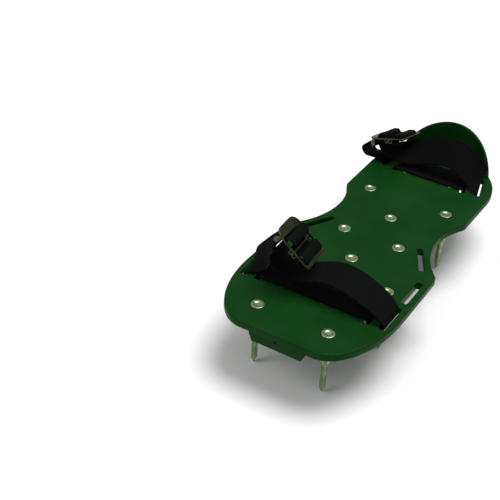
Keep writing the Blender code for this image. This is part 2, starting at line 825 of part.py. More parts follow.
def main():
    clear_scene()
    add_collections()
    bpy.context.scene.unit_settings.scale_length = 1.0
    green = material("green_plastic", (0.012, 0.085, 0.03), 0.0, 0.4)
    zinc = material("zinc_plated_steel", (0.66, 0.65, 0.52), 1.0, 0.35)
    nylon = material("black_nylon", (0.012, 0.012, 0.013), 0.0, 0.8)
    bronze = material("bronzed_steel", (0.22, 0.21, 0.12), 1.0, 0.4)
    make_plate(green)
    make_fasteners(zinc)
    make_front_strap(nylon)
    make_rear_strap(nylon)
    buckles = (("front", FRONT_ANCHOR, FRONT_TURN), ("rear", REAR_ANCHOR, REAR_TURN))
    for label, anchor, turn in buckles:
        frame = make_frame(label, anchor, turn, bronze)
        make_pin(label, frame, bronze)
        make_tail(label, frame, nylon)


main()
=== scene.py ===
"""Looks of one strap-on lawn aerator sandal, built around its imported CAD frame.

Lengths are in millimetres and scaled once by MM. The toe is at +Y and the wearer's right at +X.
Heights in the tables are above the footbed (the plate's top face), which lies FOOTBED above the ground.
"""

import math

import bmesh
import bpy
from mathutils import Euler, Matrix, Vector


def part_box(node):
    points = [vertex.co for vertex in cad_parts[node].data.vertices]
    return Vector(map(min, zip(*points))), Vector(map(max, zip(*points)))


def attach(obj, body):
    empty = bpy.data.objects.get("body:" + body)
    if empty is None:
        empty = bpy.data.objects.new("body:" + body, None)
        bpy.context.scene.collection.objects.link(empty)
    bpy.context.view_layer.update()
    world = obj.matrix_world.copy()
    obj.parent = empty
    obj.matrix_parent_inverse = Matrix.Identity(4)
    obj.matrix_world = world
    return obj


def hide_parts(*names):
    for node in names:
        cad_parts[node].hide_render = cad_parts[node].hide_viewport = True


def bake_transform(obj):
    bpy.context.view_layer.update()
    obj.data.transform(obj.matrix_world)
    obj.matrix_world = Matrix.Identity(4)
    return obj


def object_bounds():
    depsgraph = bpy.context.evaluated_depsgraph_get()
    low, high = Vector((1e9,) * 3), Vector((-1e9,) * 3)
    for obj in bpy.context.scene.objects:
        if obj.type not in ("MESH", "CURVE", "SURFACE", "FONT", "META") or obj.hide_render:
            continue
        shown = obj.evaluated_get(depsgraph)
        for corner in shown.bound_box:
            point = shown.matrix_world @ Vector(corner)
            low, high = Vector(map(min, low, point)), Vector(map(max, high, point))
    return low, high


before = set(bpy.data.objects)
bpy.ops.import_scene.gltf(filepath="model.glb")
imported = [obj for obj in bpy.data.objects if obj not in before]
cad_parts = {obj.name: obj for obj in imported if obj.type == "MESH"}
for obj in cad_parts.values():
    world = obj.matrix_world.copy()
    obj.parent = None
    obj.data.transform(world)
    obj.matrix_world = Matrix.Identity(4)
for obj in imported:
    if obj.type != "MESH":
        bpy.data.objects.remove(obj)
cad_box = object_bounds()

MM = 0.001
LENGTH = (cad_box[1].y - cad_box[0].y) / MM
FOOTBED = 51.5
PLATE_T = 6.0
EDGE_R = 1.2
GAP = 0.3
OVERCUT = 2.0
SMOOTH_ANGLE = math.radians(35)
ALONG_Y = Matrix.Rotation(math.radians(90), 4, "X")

# Planform, one half
TOE_FLAT = 28.0
FORE_HALF = 61.8
FORE_ARC_Y = 85.0
FORE_SIDE = (61.7, 55.0)
FORE_CORNER = (61.5, 26.5)
WAIST = (42.6, -21.0)
HEEL_CORNER = (51.8, -51.6)
HEEL_R = 52.3
CORNER_TRIM = 3.0
ARC_STEPS = 45

# Heel cup, toe block and the moulding nub on it
CUP_H = 30.0
CUP_HALF_ANGLE = 52.0
CUP_POWER = 0.66
CUP_END_DROP = 0.4
CUP_WALL = 3.0
CUP_TOP_WALL = 2.4
CUP_BASE_R = 51.0
CUP_TOP_R = HEEL_R - 0.02
CUP_ROUND = 1.1
CUP_SINK = 3.0
CUP_STEPS = 72
BLOCK_TOP_HALF = 22.5
BLOCK_BOTTOM_HALF = 19.0
BLOCK_Y = (137.5, 147.4)
BLOCK_H = 9.0
BLOCK_R = 0.6
BLOCK_SINK = 1.0
POCKET_N = 3
POCKET_W = 10.6
POCKET_RIB = 1.9
POCKET_Y = (139.3, 145.6)
POCKET_DEPTH = 6.5
POCKET_R = 0.8
NUB_X = 1.5
NUB_Z = -8.6
NUB_R = 1.0
NUB_L = 1.6

# Strap slots, and the windows in the sole under each pair that holds a strap
SLOT_L = 28.5
SLOT_W = 4.6
SLOT_PITCH = 11.7
SLOT_LIP = 0.5
SLOT_R = 1.0
BAR_T = 3.0
OPENING_SETBACK = 0.4
OPENING_R = 1.2
OPENING_FLARE = ((1.8, -PLATE_T - 0.8), (0.0, -BAR_T))
FRONT_SLOT = (54.7, 88.8)
REAR_SLOT = (38.6, -111.0)
REAR_SLOT_ANGLE = 14.0
SPARE_SIDE_SLOT = (54.7, 53.3)
SPARE_WAIST_SLOT = (42.9, 12.1)
SPARE_WAIST_ANGLE = 27.7

# Spikes, nuts and washers
HEAD_R = 5.0
HEAD_T = 1.5
HEAD_FILLET = 0.4
HEAD_CHAMFER = 0.2
HEAD_DISH = 0.5
# (radius, share of the dish's depth)
DISH_PROFILE = ((1.2, 1.0), (2.2, 1.0), (2.7, 0.6), (3.1, 0.0))
SHANK_R = 3.1
THREAD_PITCH = 1.25
THREAD_DEPTH = 0.4
STEP_Z = -26.0
LOWER_R = 2.2
POINT_Z = -46.3
POINT_STEPS = 8
POINT_FLAT = 0.86
TIP_R = 0.25
SPIKE_SIDES = 32
NUT_FLAT_R = 4.0
NUT_H = 5.3
NUT_BORE_R = SHANK_R + 0.05
NUT_BORE_CHAMFER = 0.35
NUT_CORNER_R = NUT_FLAT_R - 0.1
NUT_CORNER_SLOPE = 1.4
NUT_CORNER_DEPTHS = (0.0, 0.12, 0.24, 0.36, 0.48)
NUT_SIDES = 48
WASHER_R = 5.8
WASHER_BORE_R = SHANK_R + 0.2
WASHER_T = 1.1
WASHER_THINNING = 0.15
TOOTH = 0.9
TEETH = 8
TOOTH_STEPS = 6
TOOTH_LAST = 3
TOOTH_BEND = 0.12

# Webbing
WEB_W = 25.0
WEB_T = 1.5
WEB_Z = GAP + WEB_T / 2
UNDER_BAR_Z = -BAR_T - GAP - WEB_T / 2
RIB_PITCH = 1.9
RIB_DEPTH = 0.11
RING_STEP = RIB_PITCH / 5
YARN_PITCH = 0.62
TWILL_LEAN = 2.2
# Half of the section, from the toe edge over the top, as shares of (half the width, half the thickness)
WEB_HALF_SECTION = (
    (1.0, 0.0),
    (0.992, 0.6),
    (0.965, 0.95),
    (0.9, 1.05),
    (0.84, 0.94),
    (0.5, 1.0),
    (0.0, 1.0),
    (-0.5, 1.0),
    (-0.84, 0.94),
    (-0.9, 1.05),
    (-0.965, 0.95),
    (-0.992, 0.6),
)
WEB_SECTION = WEB_HALF_SECTION + tuple((-v, -h) for v, h in WEB_HALF_SECTION)

# Buckles
FRAME_HALF = 14.4
WINDOW_HALF = 13.0
WINDOW_X = (-27.4, -2.8)
FRAME_REACH = 30.0
FRAME_NOSE = 4.5
NOSE_R = 7.5
FRAME_Z = 3.6
FRAME_T = 1.2
FRAME_FILLET = 0.35
FRAME_BACK_R = 1.5
WINDOW_R = 1.0
ANCHOR_R = 1.3
ANCHOR_L = 28.4
EAR_Y = (13.15, 14.25)
EAR_TOP = FRAME_Z + 0.6
EAR_WALL = 0.5
EAR_SHOULDER = 1.6
PIN_EAR_WALL = 0.9
PIN_EAR_TAPER = 0.6
PIN_R = 0.75
PIN_HEAD_R = 1.15
PIN_REACH = FRAME_HALF + 0.8
PIN_SHOULDER = FRAME_HALF + 0.2
# (radius, distance from the end) of the pin's riveted head
RIVET_PROFILE = ((0.45, 0.0), (0.8, 0.06), (1.05, 0.22), (PIN_HEAD_R, 0.4))
PIN_SIDES = 32
PIN_X = -15.0
PIN_Z = 2.3
PIN_TRAVEL = 1.5

# Sewn eyes: how far the legs leave the bar straight, then where and how far the inner leg closes up
LOOP_R = ANCHOR_R + GAP + WEB_T / 2
EYE_STRAIGHT = 1.4
EYE_CLOSED = 5.5
EYE_PINCH = 2.6
EYE_END_PINCH = 2.9

# Where the buckles stand, and how the straps' far ends run in them
FRONT_ANCHOR = (30.6, 90.1, 39.3)
FRONT_TURN = (3.0, -39.2, 3.0)
REAR_ANCHOR = (51.8, -112.6, 12.6)
REAR_TURN = (10.5, 17.0, -3.0)
TAIL_START = -0.6
TAIL_LOW = 0.25
TAIL_END = 2.4
TAIL_PLAY = 0.2
PIN_PLAY = 0.05
HUMP_HIGH = 7.6
HUMP_LOW = 6.8
# (x, height) near which each strap is cut off into the piece on the sandal and its end
FRONT_SPLIT = (22.0, 9.8)
REAR_SPLIT = (40.0, 8.6)

# Camera, in metres, at the photo's angle
SENSOR_WIDTH = 36.0
LENS = 78.889
CAMERA_AT = (-0.2599, 0.6480, 0.5072)
CAMERA_RIGHT = (-0.8502, -0.5239, 0.0515)
CAMERA_UP = (0.3349, -0.4628, 0.8208)
CAMERA_BACK = (-0.4062, 0.7151, 0.5689)


# ---------------------------------------------------------------- materials


def add_node(tree, kind, **values):
    """Adds a node; a value named after an input sets that input, and any other sets a property."""
    node = tree.nodes.new(kind)
    for key, value in values.items():
        label = key.replace("_", " ")
        if label in node.inputs:
            node.inputs[label].default_value = value
        else:
            setattr(node, key, value)
    return node


def new_material(name, metallic, **constants):
    """(material, node tree, shader), with the shader's even values set on its own sockets."""
    made = bpy.data.materials.new(name)
    made.use_nodes = True
    tree = made.node_tree
    shader = tree.nodes["Principled BSDF"]
    shader.inputs["Metallic"].default_value = metallic
    for key, value in constants.items():
        shader.inputs[key.replace("_", " ")].default_value = value
    return made, tree, shader


def object_coords(tree, stretch=(1, 1, 1)):
    """Object coordinates in metres, stretched per axis."""
    coords = add_node(tree, "ShaderNodeTexCoord")
    mapping = add_node(tree, "ShaderNodeMapping", Scale=stretch)
    tree.links.new(coords.outputs["Object"], mapping.inputs["Vector"])
    return mapping.outputs["Vector"]


def noise(tree, coords, scale, detail=4.0, roughness=0.55):
    node = add_node(tree, "ShaderNodeTexNoise", Scale=scale, Detail=detail, Roughness=roughness)
    tree.links.new(coords, node.inputs["Vector"])
    return node.outputs["Fac"]


def remap(tree, value, low, high, to_low, to_high):
    node = add_node(
        tree, "ShaderNodeMapRange", From_Min=low, From_Max=high, To_Min=to_low, To_Max=to_high
    )
    tree.links.new(value, node.inputs["Value"])
    return node.outputs["Result"]


def blend_colour(tree, factor, a, b):
    """Mixes two colours; a may be another node's output."""
    node = add_node(tree, "ShaderNodeMix", data_type="RGBA")
    tree.links.new(factor, node.inputs["Factor"])
    for socket, colour in ((node.inputs[6], a), (node.inputs[7], b)):
        if isinstance(colour, tuple):
            socket.default_value = (*colour, 1.0)
        else:
            tree.links.new(colour, socket)
    return node.outputs[2]


def calculate(tree, operation, a, b):
    node = add_node(tree, "ShaderNodeMath", operation=operation)
    for socket, value in zip(node.inputs, (a, b)):
        if isinstance(value, (int, float)):
            socket.default_value = value
        else:
            tree.links.new(value, socket)
    return node.outputs["Value"]


def add_bump(tree, shader, height, strength, distance):
    node = add_node(tree, "ShaderNodeBump", Strength=strength, Distance=distance)
    tree.links.new(height, node.inputs["Height"])
    tree.links.new(node.outputs["Normal"], shader.inputs["Normal"])


def painted_edge_highlight(tree, low, high, most):
    """Mask of a painted highlight: 0 on flats and most on edges that stick out."""
    geometry = add_node(tree, "ShaderNodeNewGeometry")
    return remap(tree, geometry.outputs["Pointiness"], low, high, 0.0, most)


def plastic_material():
    """Dark green moulded plastic: mottled, finely grained, with scuffs that run along the foot."""
    made, tree, shader = new_material("moulded_green_plastic", 0.0, Specular_IOR_Level=0.05)
    coords = object_coords(tree)
    cloudy = remap(tree, noise(tree, coords, 28.0), 0.35, 0.65, 0.0, 1.0)
    base = blend_colour(tree, cloudy, (0.0016, 0.029, 0.0026), (0.0034, 0.038, 0.0045))
    specks = remap(tree, noise(tree, coords, 900.0, 2.0), 0.62, 0.8, 0.0, 0.5)
    base = blend_colour(tree, specks, base, (0.009, 0.062, 0.013))
    tree.links.new(base, shader.inputs["Base Color"])
    scuffs = noise(tree, object_coords(tree, (1.0, 0.25, 1.0)), 160.0, 6.0, 0.65)
    rough = remap(tree, scuffs, 0.3, 0.75, 0.3, 0.5)
    tree.links.new(rough, shader.inputs["Roughness"])
    add_bump(tree, shader, noise(tree, coords, 1300.0, 3.0), 0.35, 0.00006)
    return made


def zinc_material():
    """Zinc-plated steel with a faint yellow passivation, duller where it is handled."""
    made, tree, shader = new_material("zinc_plated_steel", 1.0)
    coords = object_coords(tree)
    tint = remap(tree, noise(tree, coords, 120.0), 0.35, 0.65, 0.0, 1.0)
    base = blend_colour(tree, tint, (0.21, 0.31, 0.14), (0.36, 0.48, 0.26))
    stains = remap(tree, noise(tree, coords, 420.0, 5.0), 0.58, 0.74, 0.0, 0.6)
    base = blend_colour(tree, stains, base, (0.16, 0.17, 0.09))
    tree.links.new(base, shader.inputs["Base Color"])
    rough = remap(tree, noise(tree, coords, 700.0, 5.0), 0.3, 0.7, 0.22, 0.42)
    tree.links.new(rough, shader.inputs["Roughness"])
    add_bump(tree, shader, noise(tree, coords, 2200.0, 3.0), 0.25, 0.00003)
    return made


def bronze_material():
    """Dark bronzed steel, brushed, with a painted highlight that brightens its edges."""
    made, tree, shader = new_material("bronzed_steel", 1.0)
    coords = object_coords(tree)
    tint = remap(tree, noise(tree, coords, 90.0), 0.35, 0.65, 0.0, 1.0)
    base = blend_colour(tree, tint, (0.026, 0.032, 0.015), (0.048, 0.056, 0.028))
    # painted highlight: the edges that stick out get a brighter colour
    base = blend_colour(tree, painted_edge_highlight(tree, 0.52, 0.64, 0.6), base, (0.16, 0.165, 0.095))
    tree.links.new(base, shader.inputs["Base Color"])
    brushed = noise(tree, object_coords(tree, (1.0, 0.08, 1.0)), 2600.0, 3.0)
    rough = remap(tree, brushed, 0.3, 0.7, 0.28, 0.46)
    tree.links.new(rough, shader.inputs["Roughness"])
    add_bump(tree, shader, brushed, 0.2, 0.00003)
    return made


def nylon_material():
    """Black nylon webbing: a fine twill laid over the modelled ribs, with a painted highlight on its
    crests and paler fuzz.
    """
    made, tree, shader = new_material("black_nylon_webbing", 0.0, Specular_IOR_Level=0.05)
    weave = add_node(tree, "ShaderNodeUVMap", uv_map="weave")
    apart = add_node(tree, "ShaderNodeSeparateXYZ")
    tree.links.new(weave.outputs["UV"], apart.inputs["Vector"])
    along, across = apart.outputs["X"], apart.outputs["Y"]
    yarn_turns = calculate(tree, "MULTIPLY", across, 2 * math.pi / YARN_PITCH)
    warp = calculate(tree, "SINE", yarn_turns, 0.0)
    rib_turns = calculate(tree, "MULTIPLY", along, 2 * math.pi / RIB_PITCH)
    lean = calculate(tree, "MULTIPLY", across, TWILL_LEAN)
    slant = calculate(tree, "ADD", rib_turns, lean)
    twill = calculate(tree, "SINE", slant, 0.0)
    cross = calculate(tree, "MULTIPLY", warp, twill)
    crest_highlight = remap(tree, cross, -1.0, 1.0, 0.0, 1.0)
    # painted highlight: the weave's crests get a lighter colour than its hollows
    base = blend_colour(tree, crest_highlight, (0.0005, 0.0008, 0.0006), (0.002, 0.0028, 0.0022))
    fuzz = remap(tree, noise(tree, weave.outputs["UV"], 1.6, 6.0, 0.7), 0.55, 0.8, 0.0, 0.5)
    base = blend_colour(tree, fuzz, base, (0.009, 0.01, 0.009))
    tree.links.new(base, shader.inputs["Base Color"])
    rough = remap(tree, crest_highlight, 0.0, 1.0, 0.85, 0.6)
    tree.links.new(rough, shader.inputs["Roughness"])
    add_bump(tree, shader, cross, 0.6, 0.00008)
    return made


def floor_material():
    """Plain pale floor, faintly uneven."""
    made, tree, shader = new_material("pale_floor", 0.0, Specular_IOR_Level=0.2)
    cloudy = noise(tree, object_coords(tree), 6.0)
    base = blend_colour(tree, cloudy, (0.82, 0.82, 0.82), (0.86, 0.86, 0.86))
    tree.links.new(base, shader.inputs["Base Color"])
    rough = remap(tree, cloudy, 0.0, 1.0, 0.7, 0.9)
    tree.links.new(rough, shader.inputs["Roughness"])
    return made


# ---------------------------------------------------------------- mesh helpers


def skin(bm, rings, closed_loop=False):
    """Joins rings of equal length into a tube; the ends are capped unless the tube closes on itself."""
    made = [[bm.verts.new(Vector(p) * MM) for p in ring] for ring in rings]
    count = len(made[0])
    last = len(made) if closed_loop else len(made) - 1
    for i in range(last):
        a = made[i]
        b = made[(i + 1) % len(made)]
        for j in range(count):
            k = (j + 1) % count
            bm.faces.new((a[j], a[k], b[k], b[j]))
    if not closed_loop:
        bm.faces.new(list(reversed(made[0])))
        bm.faces.new(made[-1])


def to_mesh(name, bm, mat=None):
    """Turns a bmesh into a mesh with outward normals, smooth but for its sharp edges, and frees it."""
    bmesh.ops.recalc_face_normals(bm, faces=bm.faces)
    mesh = bpy.data.meshes.new(name)
    bm.to_mesh(mesh)
    bm.free()
    mesh.shade_smooth()
    mesh.set_sharp_from_angle(angle=SMOOTH_ANGLE)
    if mat:
        mesh.materials.append(mat)
    return mesh


def to_object(name, mesh):
    obj = bpy.data.objects.new(name, mesh)
    bpy.context.scene.collection.objects.link(obj)
    return obj


def cut_or_join(obj, steps):
    """Applies Booleans in turn; each step is (operation, helper object), and the helpers are removed."""
    for operation, helper in steps:
        modifier = obj.modifiers.new(helper.name, "BOOLEAN")
        modifier.operation = operation
        modifier.solver = "EXACT"
        modifier.object = helper
    graph = bpy.context.evaluated_depsgraph_get()
    mesh = bpy.data.meshes.new_from_object(obj.evaluated_get(graph))
    obj.modifiers.clear()
    obj.data = mesh
    for _, helper in steps:
        bpy.data.objects.remove(helper)
    mesh.shade_smooth()
    mesh.set_sharp_from_angle(angle=SMOOTH_ANGLE)
    obj.modifiers.new("flat_faces", "WEIGHTED_NORMAL").keep_sharp = True


def tie(obj, body, slot, *nodes):
    """Ties a piece to its body and hides the CAD nodes that it stands for; slot is not used."""
    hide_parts(*nodes)
    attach(obj, body)


def fillet(radius, steps=4):
    """(inset, drop) pairs of a quarter round, from the flat face to the side wall."""
    pairs = []
    for i in range(steps + 1):
        t = math.radians(90 * i / steps)
        pairs.append((radius * (1 - math.sin(t)), radius * (1 - math.cos(t))))
    return pairs


def offset(points, distance):
    """Moves a closed outline, listed clockwise, inward by a distance."""
    out = []
    for i, point in enumerate(points):
        along = (points[(i + 1) % len(points)] - points[i - 1]).normalized()
        out.append(point + Vector((along.y, -along.x)) * distance)
    return out


# ---------------------------------------------------------------- sole plate


def bezier_corner(a, b, c, trim, steps):
    """Points of a rounded corner at b, starting trim along the way to a and ending trim toward c."""
    a, b, c = Vector(a), Vector(b), Vector(c)
    start = b + (a - b).normalized() * trim
    end = b + (c - b).normalized() * trim
    points = []
    for i in range(steps + 1):
        t = i / steps
        points.append(start * (1 - t) ** 2 + b * (2 * t * (1 - t)) + end * t * t)
    return points


def waist_arc(corner, steps):
    """Arc from a corner to the narrowest point of the waist, where it runs parallel to Y."""
    dx = corner[0] - WAIST[0]
    dy = corner[1] - WAIST[1]
    radius = (dx * dx + dy * dy) / (2 * dx)
    full = math.asin(dy / radius)
    points = []
    for i in range(steps + 1):
        t = full * (1 - i / steps)
        x = WAIST[0] + radius * (1 - math.cos(t))
        points.append(Vector((x, WAIST[1] + radius * math.sin(t))))
    return points


def beyond(points, corner, trim):
    """The points of an arc that are well clear of its corner's rounding, which reaches trim."""
    return [p for p in points if (p - Vector(corner)).length > trim * 1.3]


def half_outline():
    """The plate's edge at +X, from the toe's centre round to the heel's centre."""
    half = LENGTH / 2
    points = [Vector((0.0, half))]
    a = FORE_HALF - TOE_FLAT
    b = half - FORE_ARC_Y
    for i in range(ARC_STEPS + 1):
        t = math.radians(90 - 90 * i / ARC_STEPS)
        points.append(Vector((TOE_FLAT + a * math.cos(t), FORE_ARC_Y + b * math.sin(t))))
    points.append(Vector(FORE_SIDE))
    upper = beyond(waist_arc(FORE_CORNER, 36), FORE_CORNER, CORNER_TRIM)
    lower = beyond(waist_arc(HEEL_CORNER, 32), HEEL_CORNER, CORNER_TRIM)
    points += bezier_corner(points[-1], FORE_CORNER, upper[0], CORNER_TRIM, 8)
    points += upper + list(reversed(lower))[1:]
    below = (HEEL_CORNER[0], HEEL_CORNER[1] - CORNER_TRIM)
    points += bezier_corner(lower[0], HEEL_CORNER, below, CORNER_TRIM, 8)
    centre_y = HEEL_R - LENGTH / 2
    for i in range(ARC_STEPS + 1):
        t = math.radians(90 * i / ARC_STEPS)
        points.append(Vector((HEEL_R * math.cos(t), centre_y - HEEL_R * math.sin(t))))
    return points


def plate_body():
    """The plate with rounded edges, before anything is joined to it or cut from it."""
    right = half_outline()
    left = [Vector((-p.x, p.y)) for p in reversed(right[1:-1])]
    outline = right + left
    levels = [(inset, -drop) for inset, drop in fillet(EDGE_R)]
    levels += [(inset, drop - PLATE_T) for inset, drop in reversed(fillet(EDGE_R))]
    bm = bmesh.new()
    rings = []
    for inset, z in levels:
        rings.append([(p.x, p.y, FOOTBED + z) for p in offset(outline, inset)])
    skin(bm, rings)
    return to_object("green_sole_plate", to_mesh("green_sole_plate", bm))


def cup_height(angle):
    """The cup's height at an angle in degrees from straight back."""
    share = max(0.0, math.cos(math.radians(90 * angle / CUP_HALF_ANGLE)))
    return CUP_H * share**CUP_POWER - CUP_END_DROP


def cup_section(top):
    """(radius, height) round the cup wall's section, with a half-round top."""
    outer = CUP_BASE_R + (CUP_TOP_R - CUP_BASE_R) * max(top, 0.0) / CUP_H
    reach = CUP_TOP_WALL / 2
    section = [(CUP_BASE_R, -CUP_SINK)]
    for i in range(9):
        t = math.radians(22.5 * i)
        radius = outer - reach + reach * math.cos(t)
        section.append((radius, top - CUP_ROUND * (1 - math.sin(t))))
    section.append((CUP_BASE_R - CUP_WALL, -CUP_SINK))
    return section


def heel_cup():
    """A wall along the heel's edge, tallest at the back, leaning out a little."""
    centre_y = HEEL_R - LENGTH / 2
    rings = []
    for i in range(CUP_STEPS + 1):
        angle = -CUP_HALF_ANGLE + 2 * CUP_HALF_ANGLE * i / CUP_STEPS
        t = math.radians(angle)
        ring = []
        for radius, z in cup_section(cup_height(angle)):
            ring.append((radius * math.sin(t), centre_y - radius * math.cos(t), FOOTBED + z))
        rings.append(ring)
    bm = bmesh.new()
    skin(bm, rings)
    return to_object("cup", to_mesh("cup", bm))


def toe_block():
    """The block under the toe edge, with sloping ends and rounded lower edges."""
    low = -PLATE_T - BLOCK_H
    middle_y = sum(BLOCK_Y) / 2
    deep = (BLOCK_Y[1] - BLOCK_Y[0]) / 2
    slope = (BLOCK_TOP_HALF - BLOCK_BOTTOM_HALF) / BLOCK_H
    levels = [(0.0, -PLATE_T + BLOCK_SINK)]
    levels += [(inset, low + drop) for inset, drop in reversed(fillet(BLOCK_R))]
    rings = []
    for inset, z in levels:
        wide = BLOCK_BOTTOM_HALF + slope * (z - low) - inset
        long = deep - inset
        ring = []
        for sx, sy in ((-1, -1), (1, -1), (1, 1), (-1, 1)):
            ring.append((sx * wide, middle_y + sy * long, FOOTBED + z))
        rings.append(ring)
    bm = bmesh.new()
    skin(bm, rings)
    return to_object("block", to_mesh("block", bm))


def add_cylinder(bm, centre, radius, depth, turn=Matrix.Identity(4), sides=48):
    """A cylinder along Z, or along the axis that turn gives it."""
    bmesh.ops.create_cone(
        bm,
        cap_ends=True,
        segments=sides,
        radius1=radius * MM,
        radius2=radius * MM,
        depth=depth * MM,
        matrix=Matrix.Translation(Vector(centre) * MM) @ turn,
    )


def moulding_nub():
    """The small round gate mark on the toe block's front."""
    bm = bmesh.new()
    add_cylinder(bm, (NUB_X, BLOCK_Y[1], FOOTBED + NUB_Z), NUB_R, NUB_L, ALONG_Y, 24)
    return to_object("nub", to_mesh("nub", bm))


def inward(slot, angle, distance):
    """The (x, y) that lies a distance inward of a slot's centre, square to the slot."""
    turn = math.radians(angle)
    return slot[0] - distance * math.cos(turn), slot[1] + distance * math.sin(turn)


def slot_centres():
    """(x, y, angle) of every slot cut through the plate; the angle turns it from the Y direction."""
    right = [
        (*FRONT_SLOT, 0.0),
        (*inward(FRONT_SLOT, 0.0, SLOT_PITCH), 0.0),
        (*SPARE_SIDE_SLOT, 0.0),
        (*SPARE_WAIST_SLOT, SPARE_WAIST_ANGLE),
        (*REAR_SLOT, REAR_SLOT_ANGLE),
        (*inward(REAR_SLOT, REAR_SLOT_ANGLE, SLOT_PITCH), REAR_SLOT_ANGLE),
    ]
    return right + [(-x, y, -angle) for x, y, angle in right]


def rounded_box(bm, centre, angle, size, levels, radius):
    """A prism with rounded corners; levels gives how much it grows on every side at each height."""
    turn = Matrix.Rotation(math.radians(-angle), 2)
    rings = []
    for grow, z in levels:
        ring = []
        for corner, (sx, sy) in enumerate(((1, 1), (-1, 1), (-1, -1), (1, -1))):
            for i in range(6):
                t = math.radians(90 * corner + 18 * i)
                x = sx * (size[0] / 2 - radius) + (radius + grow) * math.cos(t)
                y = sy * (size[1] / 2 - radius) + (radius + grow) * math.sin(t)
                spot = turn @ Vector((x, y))
                ring.append((centre[0] + spot.x, centre[1] + spot.y, FOOTBED + z))
        rings.append(ring)
    skin(bm, rings)


def spike_spots():
    """(label, x, y) of the spikes, read from the frame."""
    spots = []
    for name in sorted(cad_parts):
        if name.startswith("spike_"):
            low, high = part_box(name)
            middle = (low + high) / 2 / MM
            spots.append((name[-2:], middle.x, middle.y))
    return spots


def through_cutter():
    """Strap slots with rounded lips, and the spikes' holes."""
    bm = bmesh.new()
    levels = [(0.0, -PLATE_T - OVERCUT)]
    levels += [(inset, -drop) for inset, drop in reversed(fillet(SLOT_LIP))]
    levels += [(SLOT_LIP, OVERCUT)]
    for x, y, angle in slot_centres():
        rounded_box(bm, (x, y), angle, (SLOT_W, SLOT_L), levels, SLOT_R)
    for _, x, y in spike_spots():
        add_cylinder(bm, (x, y, FOOTBED - PLATE_T / 2), SHANK_R + GAP, PLATE_T + 3 * OVERCUT)
    return to_object("through", to_mesh("through", bm))


def recess_cutter():
    """Head recesses in the footbed, strap windows in the sole and the pockets of the toe block."""
    bm = bmesh.new()
    depth = HEAD_T + GAP + OVERCUT
    for _, x, y in spike_spots():
        add_cylinder(bm, (x, y, FOOTBED + OVERCUT - depth / 2), HEAD_R + GAP, depth)
    size = (SLOT_PITCH + SLOT_W - OPENING_SETBACK, SLOT_L - OPENING_SETBACK)
    for slot, angle in ((FRONT_SLOT, 0.0), (REAR_SLOT, REAR_SLOT_ANGLE)):
        x, y = inward(slot, angle, SLOT_PITCH / 2)
        for side in (1, -1):
            rounded_box(bm, (side * x, y), side * angle, size, OPENING_FLARE, OPENING_R)
    low = -PLATE_T - BLOCK_H
    pocket = (POCKET_W, POCKET_Y[1] - POCKET_Y[0])
    levels = [(0.0, low - OVERCUT), (0.0, low + POCKET_DEPTH)]
    for i in range(POCKET_N):
        x = (i - (POCKET_N - 1) / 2) * (POCKET_W + POCKET_RIB)
        rounded_box(bm, (x, sum(POCKET_Y) / 2), 0.0, pocket, levels, POCKET_R)
    return to_object("recess", to_mesh("recess", bm))


def make_plate(mat):
    """The sole plate with its cup, its toe block and every opening in it."""
    plate = plate_body()
    steps = [
        ("UNION", heel_cup()),
        ("UNION", toe_block()),
        ("UNION", moulding_nub()),
        ("DIFFERENCE", through_cutter()),
        ("DIFFERENCE", recess_cutter()),
    ]
    cut_or_join(plate, steps)
    plate.data.materials.clear()
    plate.data.materials.append(mat)
    tie(plate, "sandal", "green_plastic", "sole_plate")


# ---------------------------------------------------------------- spikes, nuts, washers


def turned_ring(sides, z, radius_at):
    """A ring at height z whose radius depends on the angle in degrees."""
    ring = []
    for i in range(sides):
        angle = 360 * i / sides
        t = math.radians(angle)
        r = radius_at(angle)
        ring.append((r * math.cos(t), r * math.sin(t), z))
    return ring


def circle(radius):
    return lambda angle: radius


def polygon(radius, corners):
    """Radius function of a regular polygon whose flats lie at a distance from the centre."""
    step = 360 / corners
    return lambda angle: radius / math.cos(math.radians((angle + step / 2) % step - step / 2))


def capped(shape, most):
    """Radius function that is cut off at a largest radius."""
    return lambda angle: min(most, shape(angle))


def mixed(a, b, share):
    """Radius function that goes from a to b as share goes from 0 to 1."""
    return lambda angle: a(angle) * (1 - share) + b(angle) * share


def threaded(z):
    """Radius function of the thread at height z: a vee that turns once in each pitch."""

    def radius_at(angle):
        turn = (z / THREAD_PITCH + angle / 360) % 1.0
        return SHANK_R - THREAD_DEPTH * abs(2 * turn - 1)

    return radius_at


def spike_mesh(mat):
    """Dished flat head, threaded upper shank, thin lower shank and a four-sided nail point."""
    plain = [(radius, -HEAD_DISH * share) for radius, share in DISH_PROFILE]
    plain += [(HEAD_R - inset, -drop) for inset, drop in fillet(HEAD_FILLET)]
    plain += [(HEAD_R, -HEAD_T + HEAD_CHAMFER), (HEAD_R - HEAD_CHAMFER, -HEAD_T)]
    plain += [(SHANK_R + HEAD_CHAMFER, -HEAD_T), (SHANK_R, -HEAD_T - HEAD_CHAMFER)]
    plain += [(SHANK_R, -PLATE_T + 0.5)]
    rings = [turned_ring(SPIKE_SIDES, z, circle(radius)) for radius, z in plain]
    z = -PLATE_T
    while z > STEP_Z + 0.5:
        rings.append(turned_ring(SPIKE_SIDES, z, threaded(z)))
        z -= THREAD_PITCH / 5
    for radius, z in ((SHANK_R - 0.3, STEP_Z), (LOWER_R, STEP_Z - 1.2), (LOWER_R, POINT_Z)):
        rings.append(turned_ring(SPIKE_SIDES, z, circle(radius)))
    for i in range(1, POINT_STEPS + 1):
        share = i / POINT_STEPS
        z = POINT_Z + (-FOOTBED - POINT_Z) * share
        radius = LOWER_R + (TIP_R - LOWER_R) * share
        shape = mixed(circle(radius), polygon(radius * POINT_FLAT, 4), min(1.0, 3 * share))
        rings.append(turned_ring(SPIKE_SIDES, z, shape))
    bm = bmesh.new()
    skin(bm, rings)
    return to_mesh("spike", bm, mat)


